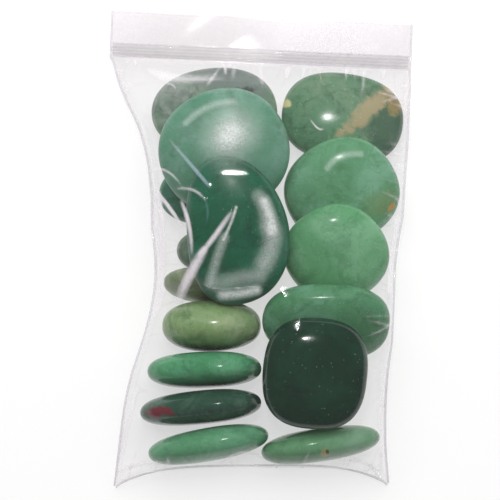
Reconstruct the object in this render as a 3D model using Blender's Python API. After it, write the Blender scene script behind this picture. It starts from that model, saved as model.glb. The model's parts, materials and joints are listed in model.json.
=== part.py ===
"""Press-to-close bag of polished massage stones, lying on its back with its zip end at +Y.

Lengths are millimetres until mesh_object() writes them as metres. The stones are placed one by one:
each comes down from above until a grown copy of it meets the rear film or a stone that already lies
there. The two films are then drawn over and under the heap like a stretched skin, so a change to a
stone or to the bag moves everything that touches it.
"""

import math
from dataclasses import dataclass

import bmesh
import bpy
import numpy as np
from mathutils import Matrix, Vector
from mathutils.bvhtree import BVHTree

MM = 0.001

# Bag
BAG_WIDTH = 150.0  # across the lips and the zip
BODY_LENGTH = 215.0  # from the base of the zip to the lower bottom corner
LIP_HEIGHT = 15.5
FILM = 0.5  # stands in for film of 0.09
GAP = 0.3  # between pieces that touch
HINGE_GAP = 0.6  # between the front film and the front lip, which peels up
SEAL_WIDTH = 1.2
SIDE_ROOM = 1.0  # from a stone's rim to the edge of a film
END_ROOM = 1.0  # from a stone's rim to the zip or to the bottom seam
BOTTOM_SKEW = 7.5  # the right bottom corner lies this much higher than the left one
BOTTOM_BOW = 10.5  # the bottom seam is drawn up this far between its corners
BOTTOM_BOW_POWER = 4.0

# Zip, seen along its length: two flanges, a ridge on one and two rails on the other
ZIP_HEIGHT = 7.5
ZIP_FLANGE = 0.4
ZIP_RIDGE_HEIGHT = 0.9
ZIP_RIDGE_WIDTH = 1.0
ZIP_RIDGE_TIP_SHARE = 0.7  # of the ridge's width
ZIP_RAIL_WIDTH = 0.7
ZIP_LEVEL = 8.5  # underside of the rear lip above the floor

# Heights of the side seams above the floor, from the zip down to the corners
SEAM_LEVELS = ((0.0, ZIP_LEVEL + 1.5), (0.15, 15.0), (0.5, 23.0), (0.8, 19.0), (1.0, 3.5))

# How far each side is drawn in from half the bag's width, by distance down from the zip's base
LEFT_DRAWN_IN = ((0, 1), (16, 6.5), (30, 15), (39, 25), (60, 24), (86, 30), (104, 32), (130, 26),
                 (160, 17.5), (195, 13), (215, 11))
RIGHT_DRAWN_IN = ((0, 0), (15, 0), (25, 2.5), (43, 9), (100, 7), (118, 9.5), (131, 9), (166, 6.5),
                  (195, 3.5), (215, 0.5))

# Film meshes: cells narrow towards every edge, where the film turns steeply
CELLS_ACROSS = 26
CELLS_ALONG = 38
EDGE_CROWDING = 0.75
SAMPLES_PER_CELL = 4
RELAX_ROUNDS = 1500
FRONT_SAG = 0.05  # how far one round of relaxing lets the front film drop
REAR_SAG = 0.12
STEEPEST_SHARE = 3.0  # a film's upright thickness is at most this many times FILM
SEAL_TURN_SHARE = 0.0625  # of the width: how far in from a side seal the grid shifts to clear it
ZIP_PARTING_SHARE = 0.05  # of the length: where the films close up below the zip
OUTLINE_SMOOTHINGS = 4

STONE_CELLS = 6  # along each edge of the cube that a stone's mesh is made from
BEND_MIDDLE = 0.35  # the share of a bent stone's length, squared, where its bend crosses its axis
DRIFT = 7  # whole millimetres that a stone may shift each way in plan to find a lower place
DRIFT_COST = 0.8  # millimetres of height that one millimetre of shift has to save
SLACK = 0.35  # kept free beyond GAP while looking for that place
DROP_FROM = 120.0
DROP_STEP = 1.5
DROP_HALVINGS = 9

# The bag for which the stones' places below are given
LAYOUT_WIDTH = 150.0
LAYOUT_LENGTH = 215.0


@dataclass
class Stone:
    """One pebble: its three sizes, its place from the middle of the zip's base, and how it lies.

    heading turns it about the upright, tilt lifts the side that faces the zip, and spin turns its
    outline in its own plane. outline and rim are superellipse powers, taper narrows the +x end, and
    bend curves it like a kidney.
    """

    name: str
    size: tuple
    place: tuple
    heading: float = 0.0
    tilt: float = 0.0
    spin: float = 0.0
    outline: float = 2.2
    rim: float = 2.2
    taper: float = 0.0
    bend: float = 0.0
    colour: tuple = (0.12, 0.30, 0.20)


# In the order in which they are laid: two on the rear film, those on edge that lean on them and on one
# another, the rest of those on the rear film, then the upper ones
STONES = (
    Stone("stone_left_dark", (50, 32, 18), (-22.5, -65), 6, 2, colour=(0.10, 0.22, 0.17)),
    Stone("stone_left_grey_green", (44, 24, 14), (-15.5, -93), 0, 0, colour=(0.25, 0.32, 0.25)),
    Stone("stone_left_olive", (46, 32, 14), (-20, -111), -2, 66, colour=(0.16, 0.22, 0.12)),
    Stone("stone_egg_yellow_green", (49, 38, 24), (-18, -130.5), 2.5, 75, 12, rim=2.4, taper=0.12,
          colour=(0.28, 0.40, 0.20)),
    Stone("stone_edge_mid_left", (56.5, 39, 17), (-20.5, -151), 4, 79, 14, outline=2.4, rim=2.6,
          colour=(0.10, 0.25, 0.16)),
    Stone("stone_edge_red_patch", (61, 39, 16.5), (-21.5, -169.5), 7.5, 80, 13, rim=2.5, taper=-0.06,
          colour=(0.06, 0.12, 0.09)),
    Stone("stone_edge_bottom_left", (61, 37, 16.5), (-17, -188.5), 12, 80, 12, rim=2.4, taper=0.05,
          colour=(0.15, 0.32, 0.22)),
    Stone("stone_dark_under", (42, 34, 16), (29, -157), -20, 6, colour=(0.03, 0.07, 0.05)),
    Stone("stone_edge_bottom_right", (59, 38, 16.5), (37, -186), 11, 80, rim=2.4, taper=0.08,
          colour=(0.17, 0.36, 0.24)),
    Stone("stone_top_left_mottled", (63, 45, 19), (-21.5, -25), 2, 0, taper=-0.08,
          colour=(0.22, 0.32, 0.26)),
    Stone("stone_top_right_banded", (61, 45, 19), (42.5, -25), -6, 0, outline=2.4,
          colour=(0.18, 0.34, 0.22)),
    Stone("stone_upper_left_bright", (64, 61, 22), (-15.5, -45.5), 0, 14, 25, outline=2.1,
          colour=(0.13, 0.42, 0.28)),
    Stone("stone_upper_right", (56, 54, 20), (38.8, -56), 0, 18, 35, outline=2.3,
          colour=(0.16, 0.38, 0.23)),
    Stone("stone_mid_right_pale", (50, 51, 20), (41, -92.5), 0, 22, 40, outline=2.25,
          colour=(0.20, 0.42, 0.28)),
    Stone("stone_right_leaning", (62, 44, 19), (31.5, -122.5), 0, 38, outline=2.5, rim=2.5,
          taper=-0.06, colour=(0.17, 0.36, 0.24)),
    Stone("stone_centre_kidney", (73, 49, 20), (-6.8, -86), 0, 12, 100, outline=2.2, taper=0.1,
          bend=0.16, colour=(0.06, 0.17, 0.11)),
    Stone("stone_dark_square", (54, 50, 20), (32.6, -149.5), 0, 8, 88, outline=2.7, rim=2.5,
          colour=(0.05, 0.12, 0.08)),
)

CLEAR_FILM = (0.86, 0.87, 0.90, 0.35)
WELDED_FILM = (0.80, 0.82, 0.85, 0.5)
ZIP_PLASTIC = (0.84, 0.84, 0.90, 0.6)

ZIP_STACK = FILM + GAP + ZIP_FLANGE + ZIP_RIDGE_HEIGHT + GAP + ZIP_FLANGE + GAP  # up to the front lip


def clear_scene():
    for old in list(bpy.data.objects):
        bpy.data.objects.remove(old, do_unlink=True)


def material(name, colour, roughness):
    """A plain Principled material: colour is linear RGB with an optional alpha."""
    made = bpy.data.materials.new(name)
    made.use_nodes = True
    shader = made.node_tree.nodes["Principled BSDF"]
    shader.inputs["Base Color"].default_value = (*colour[:3], 1.0)
    shader.inputs["Alpha"].default_value = colour[3] if len(colour) == 4 else 1.0
    shader.inputs["Roughness"].default_value = roughness
    shader.inputs["Metallic"].default_value = 0.0
    return made


def mesh_object(name, points, faces, finish, parent):
    """Adds one named object from points in millimetres."""
    data = bpy.data.meshes.new(name)
    data.from_pydata((np.asarray(points) * MM).tolist(), [], [list(face) for face in faces])
    data.materials.append(finish)
    made = bpy.data.objects.new(name, data)
    bpy.context.scene.collection.objects.link(made)
    made.parent = parent
    return made


def empty(name, at=(0.0, 0.0, 0.0)):
    made = bpy.data.objects.new(name, None)
    made.location = Vector(at) * MM
    bpy.context.scene.collection.objects.link(made)
    return made


# ---------------------------------------------------------------- stones


def cube_sphere(cells):
    """Unit directions and quads of a cube, each of its sides cells by cells, blown up to a sphere."""
    mesh = bmesh.new()
    bmesh.ops.create_cube(mesh, size=2.0)
    bmesh.ops.subdivide_edges(mesh, edges=mesh.edges[:], cuts=cells - 1, use_grid_fill=True)
    even = np.tan(np.array([v.co[:] for v in mesh.verts]) * math.pi / 4)
    faces = [[v.index for v in face.verts] for face in mesh.faces]
    mesh.free()
    return even / np.linalg.norm(even, axis=1, keepdims=True), faces


def pebble(stone, directions):
    """Surface points of a stone about its own middle.

    Each direction of the unit sphere is flattened to the stone's proportions, and then scaled until it
    meets (|x/a|^p + |y/b|^p)^(q/p) + |z/c|^q = 1.
    """
    half = np.array(stone.size) / 2
    share = np.abs(directions)
    flat = (share[:, 0] ** stone.outline + share[:, 1] ** stone.outline) ** (stone.rim / stone.outline)
    radius = (flat + share[:, 2] ** stone.rim) ** (-1 / stone.rim)
    points = directions * half * radius[:, None]
    along = points[:, 0] / half[0]
    points[:, 1] *= 1 - stone.taper * along
    points[:, 1] += stone.bend * half[1] * (along**2 - BEND_MIDDLE)
    return points


def attitude(stone):
    turn = Matrix.Rotation(math.radians(stone.heading), 3, "Z")
    lift = Matrix.Rotation(math.radians(stone.tilt), 3, "X")
    spin = Matrix.Rotation(math.radians(stone.spin), 3, "Z")
    return np.array(turn @ lift @ spin)


def grown(points, faces, by):
    """The points moved outwards by this much along the mesh's normals."""
    mesh = bmesh.new()
    corners = [mesh.verts.new(point) for point in points]
    for face in faces:
        mesh.faces.new([corners[i] for i in face])
    mesh.normal_update()
    normals = np.array([v.normal[:] for v in mesh.verts])
    mesh.free()
    return points + normals * by


def bottom_rise(across):
    """How far above the lower corner the bottom seam lies, at these shares across the bag."""
    return BOTTOM_SKEW * across + BOTTOM_BOW * (1 - np.abs(2 * across - 1) ** BOTTOM_BOW_POWER)


def inside_bag(stone, points, shift):
    """The stone's plan position in this bag, shifted, but clear of the sides, the zip and the bottom."""
    reach = np.abs(points[:, :2]).max(axis=0)
    most_x = BAG_WIDTH / 2 - SEAL_WIDTH - GAP - SIDE_ROOM - reach[0]
    x = np.clip(stone.place[0] * BAG_WIDTH / LAYOUT_WIDTH + shift[0], -most_x, most_x)
    y = stone.place[1] * BODY_LENGTH / LAYOUT_LENGTH + shift[1]
    across = np.clip((x + points[:, 0]) / BAG_WIDTH + 0.5, 0, 1)
    seam = bottom_rise(across) - BODY_LENGTH
    least_y = (seam + END_ROOM + SEAL_WIDTH + GAP - points[:, 1]).max()
    return np.array([x, np.clip(y, least_y, -END_ROOM - reach[1]), 0.0])


def seen_from(tree, xs, ys, upwards):
    """Heights of a mesh at a grid of places, seen from below (upwards) or from above; NaN where it isn't."""
    heights = np.full((len(ys), len(xs)), np.nan)
    start, way = (-DROP_FROM, 1) if upwards else (2 * DROP_FROM, -1)
    for i, y in enumerate(ys):
        for j, x in enumerate(xs):
            hit = tree.ray_cast((x, y, start), (0, 0, way))[0]
            if hit is not None:
                heights[i, j] = hit.z
    return heights


def cells_over(low, high):
    """Whole millimetres that cover a range."""
    return np.arange(math.floor(low), math.ceil(high) + 1)


class Relief:
    """The top of what has been laid so far, on a grid of whole millimetres."""

    def __init__(self):
        self.left = -math.ceil(BAG_WIDTH)
        self.low = -math.ceil(BODY_LENGTH + BAG_WIDTH)
        self.tops = np.full((-self.low + math.ceil(BAG_WIDTH), 2 * math.ceil(BAG_WIDTH)), FILM)

    def window(self, xs, ys):
        return self.tops[ys[0] - self.low:ys[-1] - self.low + 1, xs[0] - self.left:xs[-1] - self.left + 1]

    def add(self, points, tree):
        xs = cells_over(points[:, 0].min(), points[:, 0].max())
        ys = cells_over(points[:, 1].min(), points[:, 1].max())
        part_of = self.window(xs, ys)
        part_of[:] = np.fmax(part_of, seen_from(tree, xs, ys, False))

    def easiest(self, points, faces):
        """The shift in plan, within DRIFT, that lets a stone lie lowest for the least shift."""
        bulk = grown(points, faces, GAP + SLACK)
        xs = cells_over(bulk[:, 0].min(), bulk[:, 0].max())
        ys = cells_over(bulk[:, 1].min(), bulk[:, 1].max())
        under = seen_from(BVHTree.FromPolygons(bulk.tolist(), faces), xs, ys, True)
        shifts = range(-DRIFT, DRIFT + 1)
        scores = {}
        for across in shifts:
            for along in shifts:
                rise = np.nanmax(self.window(xs + across, ys + along) - under)
                scores[across, along] = rise + DRIFT_COST * math.hypot(across, along)
        return min(scores, key=scores.get)


def drop(points, faces, laid):
    """The height at which these points, let down from above, first meet the film or a laid stone."""
    bulk = grown(points, faces, GAP)
    floor = FILM - bulk[:, 2].min()

    def meets(height):
        tree = BVHTree.FromPolygons((bulk + (0, 0, height)).tolist(), faces)
        return any(tree.overlap(other) for other in laid)

    low = floor
    for height in np.arange(DROP_FROM, floor, -DROP_STEP):
        if meets(height):
            low = height
            break
    else:
        return floor
    high = low + DROP_STEP
    for _ in range(DROP_HALVINGS):
        middle = (low + high) / 2
        low, high = (middle, high) if meets(middle) else (low, middle)
    return high


def lay_stones():
    """Every stone's placed points, with the faces that they share."""
    directions, faces = cube_sphere(STONE_CELLS)
    relief, laid, heap = Relief(), [], {}
    for stone in STONES:
        points = pebble(stone, directions) @ attitude(stone).T
        points -= (points.max(axis=0) + points.min(axis=0)) / 2
        place = inside_bag(stone, points, (0, 0))
        shift = relief.easiest(points + place, faces)
        points += inside_bag(stone, points, shift)
        points[:, 2] += drop(points, faces, laid)
        tree = BVHTree.FromPolygons(points.tolist(), faces)
        relief.add(points, tree)
        laid.append(tree)
        heap[stone.name] = points
    return heap, faces


def add_stones(heap, faces, parent):
    for stone in STONES:
        points = heap[stone.name]
        middle = points.mean(axis=0)
        finish = material(stone.name + "_polished", stone.colour, 0.12)
        made = mesh_object(stone.name, points - middle, faces, finish, parent)
        made.location = Vector(middle) * MM


# ---------------------------------------------------------------- outline of the bag


def smooth_through(points, at):
    """A smooth curve through (place, value) points, read at the places in at.

    Between two points the value follows a cubic Hermite curve whose end slopes are those of the
    chords between each point's neighbours.
    """
    x, y = np.array(points, float).T
    slope = np.gradient(y, x)
    i = np.clip(np.searchsorted(x, at, side="right") - 1, 0, len(x) - 2)
    width = x[i + 1] - x[i]
    t = np.clip((at - x[i]) / width, 0, 1)
    return ((1 + 2 * t) * (1 - t) ** 2 * y[i] + t * (1 - t) ** 2 * width * slope[i]
            + t**2 * (3 - 2 * t) * y[i + 1] + t**2 * (t - 1) * width * slope[i + 1])


def spread(cells):
    """Shares from 0 to 1 that crowd towards both ends."""
    turn = np.linspace(0, math.pi, cells + 1)
    share = (1 - np.cos(turn)) / 2
    return EDGE_CROWDING * share + (1 - EDGE_CROWDING) * turn / math.pi


def pushed_out(drawn_in, sign, down, heap):
    """Half widths of the bag at these distances down, never nearer to a stone than SIDE_ROOM."""
    scale = LAYOUT_LENGTH / BODY_LENGTH
    half = BAG_WIDTH / 2 - smooth_through(drawn_in, down * scale)
    step = down[1:-1] - down[:-2]
    reach = 2 * float(step.max())
    for points in heap.values():
        near = np.abs(points[None, :, 1] + down[:, None]) < reach
        rim = np.where(near, sign * points[None, :, 0], -np.inf).max(axis=1)
        half = np.maximum(half, rim + SIDE_ROOM + SEAL_WIDTH + GAP)
    for _ in range(OUTLINE_SMOOTHINGS):
        half[1:-1] = np.maximum(half[1:-1], (half[:-2] + half[2:]) / 2)
    half[0] = BAG_WIDTH / 2
    return half


def plan_grid(across, along, heap):
    """x and y of the films' outline, seals included, at each share across and along the bag."""
    down = along * BODY_LENGTH
    left = -pushed_out(LEFT_DRAWN_IN, -1, down, heap)
    right = pushed_out(RIGHT_DRAWN_IN, 1, down, heap)
    length = BODY_LENGTH - bottom_rise(across)
    x = left[:, None] + (right - left)[:, None] * across[None, :]
    y = -along[:, None] * length[None, :]
    return x, y


# ---------------------------------------------------------------- films


def inset(x, y):
    """The outline grid moved in by the seal and its gap, and down from the zip by half the hinge gap."""
    edge = SEAL_WIDTH + GAP
    share = np.linspace(1, -1, x.shape[1])
    sides = np.sign(share) * np.clip(1 - (1 - np.abs(share)) / (2 * SEAL_TURN_SHARE), 0, 1)
    x = x + edge * sides[None, :]
    y = y.copy()
    y[-1] += edge
    y[0] -= HINGE_GAP / 2
    return x, y


def heap_envelopes(x, y, heap, faces):
    """Highest and lowest stone surface near each grid node.

    Each cell is sampled on a small grid of its own and seen from straight above and below, and a node
    takes the worst of the cells around it, so that the flat faces between nodes clear every stone.
    """
    trees = [BVHTree.FromPolygons(points.tolist(), faces) for points in heap.values()]
    rows, columns = x.shape
    fine_v = np.linspace(0, rows - 1, (rows - 1) * SAMPLES_PER_CELL + 1)
    fine_u = np.linspace(0, columns - 1, (columns - 1) * SAMPLES_PER_CELL + 1)
    v = np.minimum(fine_v.astype(int), rows - 2)
    u = np.minimum(fine_u.astype(int), columns - 2)
    tv, tu = (fine_v - v)[:, None], (fine_u - u)[None, :]

    def between(grid):
        rows_read = grid[v] * (1 - tv) + grid[v + 1] * tv
        return rows_read[:, u] * (1 - tu) + rows_read[:, u + 1] * tu

    fine_x, fine_y = between(x), between(y)
    top = np.full(fine_x.shape, -np.inf)
    bottom = np.full(fine_x.shape, np.inf)
    for tree, points in zip(trees, heap.values()):
        low, high = points.min(axis=0), points.max(axis=0)
        inside = ((fine_x > low[0]) & (fine_x < high[0]) & (fine_y > low[1]) & (fine_y < high[1]))
        for i, j in np.argwhere(inside):
            above = tree.ray_cast((fine_x[i, j], fine_y[i, j], DROP_FROM * 2), (0, 0, -1))[0]
            if above is None:
                continue
            below = tree.ray_cast((fine_x[i, j], fine_y[i, j], -DROP_FROM), (0, 0, 1))[0]
            top[i, j] = max(top[i, j], above.z)
            bottom[i, j] = min(bottom[i, j], below.z)
    highest = np.full(x.shape, -np.inf)
    lowest = np.full(x.shape, np.inf)
    for i in range(rows):
        i0, i1 = max(i - 1, 0) * SAMPLES_PER_CELL, min(i + 1, rows - 1) * SAMPLES_PER_CELL + 1
        for j in range(columns):
            j0, j1 = max(j - 1, 0) * SAMPLES_PER_CELL, min(j + 1, columns - 1) * SAMPLES_PER_CELL + 1
            highest[i, j] = top[i0:i1, j0:j1].max()
            lowest[i, j] = bottom[i0:i1, j0:j1].min()
    return highest, lowest


def seam_height(along, across):
    """Height of the film's edge: the side seams, and the bottom seam between their ends."""
    side = smooth_through(SEAM_LEVELS, along)
    return np.repeat(side[:, None], len(across), axis=1)


def stretched(start, least, most, sag):
    """A skin held at its edges, pulled flat and let sag, but kept between two limits."""
    skin = np.clip(start, least, most)
    for _ in range(RELAX_ROUNDS):
        mean = (skin[:-2, 1:-1] + skin[2:, 1:-1] + skin[1:-1, :-2] + skin[1:-1, 2:]) / 4
        skin[1:-1, 1:-1] = np.clip(mean - sag, least[1:-1, 1:-1], most[1:-1, 1:-1])
    return skin


def upright_thickness(x, y, z):
    """FILM measured along Z where the film slopes, so that its wall stays about even."""
    dz_v = np.gradient(z, axis=0) / np.maximum(np.abs(np.gradient(y, axis=0)), 1e-6)
    dz_u = np.gradient(z, axis=1) / np.maximum(np.abs(np.gradient(x, axis=1)), 1e-6)
    steep = np.minimum(np.sqrt(1 + dz_u**2 + dz_v**2), STEEPEST_SHARE)
    steep[0] = steep[-1] = 1
    steep[:, 0] = steep[:, -1] = 1
    return FILM * steep


def film_heights(x, y, along, across, highest, lowest):
    """Inner faces of the rear and the front film."""
    seam = seam_height(along, across)
    zip_share = np.clip(1 - along / ZIP_PARTING_SHARE, 0, 1)[:, None]
    parting = GAP + (ZIP_STACK - FILM - GAP) * zip_share * np.ones_like(seam)
    rear_edge = seam - parting / 2
    front_edge = seam + parting / 2
    rear_edge[0] = ZIP_LEVEL + FILM
    front_edge[0] = ZIP_LEVEL + ZIP_STACK
    floor = np.full(x.shape, FILM)
    rear = stretched(rear_edge, floor, np.maximum(lowest - GAP, FILM), REAR_SAG)
    least = np.maximum(highest + GAP, rear + GAP)
    front = stretched(np.maximum(front_edge, least), least, np.full(x.shape, DROP_FROM), FRONT_SAG)
    return rear, front


def sheet(name, x, y, lower, upper, finish, parent):
    """A closed slab between two height grids over the same plan."""
    rows, columns = x.shape
    low = np.dstack([x, y, lower]).reshape(-1, 3)
    high = np.dstack([x, y, upper]).reshape(-1, 3)
    index = np.arange(rows * columns).reshape(rows, columns)
    quads = np.stack([index[:-1, :-1], index[1:, :-1], index[1:, 1:], index[:-1, 1:]], axis=-1)
    quads = quads.reshape(-1, 4)
    rim = np.concatenate([index[:, 0], index[-1, 1:], index[-2::-1, -1], index[0, -2:0:-1]])
    after = np.roll(rim, -1)
    over = rows * columns
    walls = np.stack([rim, after, after + over, rim + over], axis=1)
    faces = [*(quads + over), *quads[:, ::-1], *walls[:, ::-1]]
    solid = mesh_object(name, np.vstack([low, high]), faces, finish, parent)
    point_outwards(solid)
    return solid


def point_outwards(solid):
    mesh = bmesh.new()
    mesh.from_mesh(solid.data)
    bmesh.ops.recalc_face_normals(mesh, faces=mesh.faces[:])
    if mesh.calc_volume(signed=True) < 0:
        bmesh.ops.reverse_faces(mesh, faces=mesh.faces[:])
    mesh.to_mesh(solid.data)
    mesh.free()


def add_films(x, y, rear, front, finish, parent):
    rear_outer = np.maximum(rear - upright_thickness(x, y, rear), 0.0)
    rear_outer = np.where(rear <= FILM + 1e-6, 0.0, rear_outer)
    sheet("rear_film", x, y, rear_outer, rear, finish, parent)
    sheet("front_film", x, y, front, front + upright_thickness(x, y, front), finish, parent)


# ---------------------------------------------------------------- seals, zip and lips


def side_seal(name, column, x, y, rear, front, sign, finish, parent):
    """The weld beside one edge of the films, from the top of the lips to the bottom corner."""
    half = BAG_WIDTH / 2 - SEAL_WIDTH
    inner = np.concatenate([[sign * half] * 2, x[:, column] + sign * GAP, [x[-1, column] + sign * GAP]])
    run_y = np.concatenate([[ZIP_HEIGHT + LIP_HEIGHT, HINGE_GAP], y[:, column],
                            [y[-1, column] - SEAL_WIDTH - GAP]])
    low = np.concatenate([[ZIP_LEVEL] * 2, np.maximum(rear[:, column] - FILM, 0.0)])
    high = np.concatenate([[ZIP_LEVEL + ZIP_STACK + FILM] * 2, front[:, column] + FILM])
    low, high = np.append(low, low[-1]), np.append(high, high[-1])
    sheet(name, np.stack([inner, inner + sign * SEAL_WIDTH], axis=1), np.stack([run_y, run_y], axis=1),
          np.stack([low, low], axis=1), np.stack([high, high], axis=1), finish, parent)


def bottom_seam(x, y, rear, front, finish, parent):
    """The weld below the films' bottom edge, between the side seals."""
    low = np.maximum(rear[-1] - FILM, 0.0)
    high = front[-1] + FILM
    sheet("bottom_seam", np.stack([x[-1], x[-1]], axis=1),
          np.stack([y[-1] - GAP, y[-1] - GAP - SEAL_WIDTH], axis=1),
          np.stack([low, low], axis=1), np.stack([high, high], axis=1), finish, parent)


def lip(name, level, start, finish, parent):
    """One flat lip, its film running from the base of the zip to the mouth."""
    half = BAG_WIDTH / 2 - SEAL_WIDTH - GAP
    x, y = np.meshgrid([-half, half], [ZIP_HEIGHT + LIP_HEIGHT, start])
    low = np.full(x.shape, level)
    return sheet(name, x, y, low, low + FILM, finish, parent)


def extruded(name, profile, half_length, finish, parent):
    """A closed (y, z) profile run along X."""
    mesh = bmesh.new()
    ends = [mesh.verts.new((-half_length * MM, y * MM, z * MM)) for y, z in profile]
    face = mesh.faces.new(ends)
    moved = bmesh.ops.extrude_face_region(mesh, geom=[face])["geom"]
    new = [item for item in moved if isinstance(item, bmesh.types.BMVert)]
    bmesh.ops.translate(mesh, verts=new, vec=(2 * half_length * MM, 0, 0))
    data = bpy.data.meshes.new(name)
    mesh.to_mesh(data)
    mesh.free()
    data.materials.append(finish)
    made = bpy.data.objects.new(name, data)
    bpy.context.scene.collection.objects.link(made)
    made.parent = parent
    point_outwards(made)
    return made


def ridge_strip():
    """Profile of the half of the zip that carries the ridge, on the rear lip."""
    base = ZIP_LEVEL + FILM + GAP
    face = base + ZIP_FLANGE
    middle = ZIP_HEIGHT / 2
    half = ZIP_RIDGE_WIDTH / 2
    tip = half * ZIP_RIDGE_TIP_SHARE
    edge = HINGE_GAP
    return [(edge, base), (ZIP_HEIGHT, base), (ZIP_HEIGHT, face), (middle + half, face),
            (middle + tip, face + ZIP_RIDGE_HEIGHT), (middle - tip, face + ZIP_RIDGE_HEIGHT),
            (middle - half, face), (edge, face)]


def rail_strip():
    """Profile of the half with two rails, which straddle the ridge, under the front lip."""
    face = ZIP_LEVEL + FILM + GAP + ZIP_FLANGE + ZIP_RIDGE_HEIGHT + GAP
    back = face + ZIP_FLANGE
    tip = face - ZIP_RIDGE_HEIGHT
    middle = ZIP_HEIGHT / 2
    inner = ZIP_RIDGE_WIDTH / 2 + GAP
    outer = inner + ZIP_RAIL_WIDTH
    edge = HINGE_GAP
    return [(edge, back), (edge, face), (middle - outer, face), (middle - outer, tip),
            (middle - inner, tip), (middle - inner, face), (middle + inner, face),
            (middle + inner, tip), (middle + outer, tip), (middle + outer, face),
            (ZIP_HEIGHT, face), (ZIP_HEIGHT, back)]


def add_mouth(film, plastic, bag, peel):
    """Both lips and both halves of the zip. What peels up is parented to the hinge's empty."""
    half = BAG_WIDTH / 2 - SEAL_WIDTH - GAP
    lip("rear_lip", ZIP_LEVEL, HINGE_GAP / 2, film, bag)
    front = lip("front_lip", ZIP_LEVEL + ZIP_STACK, HINGE_GAP / 2, film, bag)
    extruded("zip_rib", ridge_strip(), half, plastic, bag)
    channel = extruded("zip_channel", rail_strip(), half, plastic, bag)
    for piece in (front, channel):
        piece.parent = peel
        piece.matrix_parent_inverse = peel.matrix_world.inverted()


def centre_on_floor(bag):
    """Moves the bag so that its box is centred in plan and its rear film lies at height zero."""
    bpy.context.view_layer.update()
    solids = [item for item in bpy.data.objects if item.type == "MESH"]
    corners = np.array([item.matrix_world @ Vector(c) for item in solids for c in item.bound_box])
    low, high = corners.min(axis=0), corners.max(axis=0)
    bag.location -= Vector(((low[0] + high[0]) / 2, (low[1] + high[1]) / 2, low[2]))
    bpy.context.view_layer.update()


def main():
    clear_scene()
    bag = empty("bag")
    peel = empty("front_lip_hinge", (0, 0, ZIP_LEVEL + ZIP_STACK + FILM / 2))
    peel.parent = bag
    bpy.context.view_layer.update()
    film = material("clear_film", CLEAR_FILM, 0.12)
    weld = material("welded_film", WELDED_FILM, 0.3)
    plastic = material("zip_plastic", ZIP_PLASTIC, 0.3)
    heap, faces = lay_stones()
    add_stones(heap, faces, bag)
    across, along = spread(CELLS_ACROSS), spread(CELLS_ALONG)
    outline_x, outline_y = plan_grid(across, along, heap)
    x, y = inset(outline_x, outline_y)
    highest, lowest = heap_envelopes(x, y, heap, faces)
    rear, front = film_heights(x, y, along, across, highest, lowest)
    add_films(x, y, rear, front, film, bag)
    side_seal("side_seal_left", 0, x, y, rear, front, -1, weld, bag)
    side_seal("side_seal_right", -1, x, y, rear, front, 1, weld, bag)
    bottom_seam(x, y, rear, front, weld, bag)
    add_mouth(film, plastic, bag, peel)
    centre_on_floor(bag)


main()
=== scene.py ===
"""Press-to-close bag filled with polished massage stones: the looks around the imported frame.

Sizes are metres, or millimetres where a name or a docstring says so. The bag lies on its back, with its
zip towards +Y. Each stone, film, weld and lip is a surface worked out with numpy from the frame's nodes.
"""

import json
import logging
import math
from dataclasses import dataclass, field
from enum import Enum

import bpy
import numpy as np
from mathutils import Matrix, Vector
from mathutils.bvhtree import BVHTree

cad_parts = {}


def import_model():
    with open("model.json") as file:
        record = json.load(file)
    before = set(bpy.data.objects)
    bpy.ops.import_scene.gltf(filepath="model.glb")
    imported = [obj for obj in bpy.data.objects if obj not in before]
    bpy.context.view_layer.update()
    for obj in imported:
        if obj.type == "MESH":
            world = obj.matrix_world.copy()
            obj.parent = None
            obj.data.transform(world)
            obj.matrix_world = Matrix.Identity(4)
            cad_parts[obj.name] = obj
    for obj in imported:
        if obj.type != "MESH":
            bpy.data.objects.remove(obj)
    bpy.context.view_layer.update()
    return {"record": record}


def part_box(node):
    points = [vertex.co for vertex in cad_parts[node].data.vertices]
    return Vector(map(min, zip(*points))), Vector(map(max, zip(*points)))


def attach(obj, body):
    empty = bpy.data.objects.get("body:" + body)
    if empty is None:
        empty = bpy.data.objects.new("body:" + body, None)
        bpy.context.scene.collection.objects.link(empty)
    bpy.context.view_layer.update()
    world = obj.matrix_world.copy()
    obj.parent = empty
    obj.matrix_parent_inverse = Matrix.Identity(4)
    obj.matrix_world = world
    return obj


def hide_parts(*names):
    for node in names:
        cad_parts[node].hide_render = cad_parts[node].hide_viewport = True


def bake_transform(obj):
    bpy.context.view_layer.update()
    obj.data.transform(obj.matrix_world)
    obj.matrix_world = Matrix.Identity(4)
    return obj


MM = 0.001
SEED = 20  # of the scattered gathers along the film's edges
HINGE_HALF_GAP = 0.3 * MM  # the frame's clearance between the lip, the welds and the film
log = logging.getLogger("stone_bag")


def linear(red: float, green: float, blue: float) -> tuple:
    """Turns a display colour from 0 to 255 into linear RGB.

    Args:
        red, green, blue: the display colour.

    Returns:
        The linear colour.
    """
    share = np.array([red, green, blue]) / 255
    return tuple(np.where(share <= 0.04045, share / 12.92, ((share + 0.055) / 1.055) ** 2.4).tolist())


# ---------------------------------------------------------------- shader maths


class Socket:
    """An output socket that takes part in Python arithmetic on plain values."""

    def __init__(self, shader: "Shader", link: bpy.types.NodeSocket) -> None:
        """Keeps the material it belongs to and the socket."""
        self.shader, self.link = shader, link

    def _math(self, operation: str, first: object, second: object) -> "Socket":
        """Adds one Math node on two values or sockets."""
        return self.shader.node("ShaderNodeMath", {"operation": operation}, {0: first, 1: second})

    def __add__(self, other: object) -> "Socket":
        """Sum."""
        return self._math("ADD", self, other)

    def __sub__(self, other: object) -> "Socket":
        """Difference."""
        return self._math("SUBTRACT", self, other)

    def __rsub__(self, other: object) -> "Socket":
        """Difference, with this socket taken away."""
        return self._math("SUBTRACT", other, self)

    def __mul__(self, other: object) -> "Socket":
        """Product."""
        return self._math("MULTIPLY", self, other)


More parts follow.
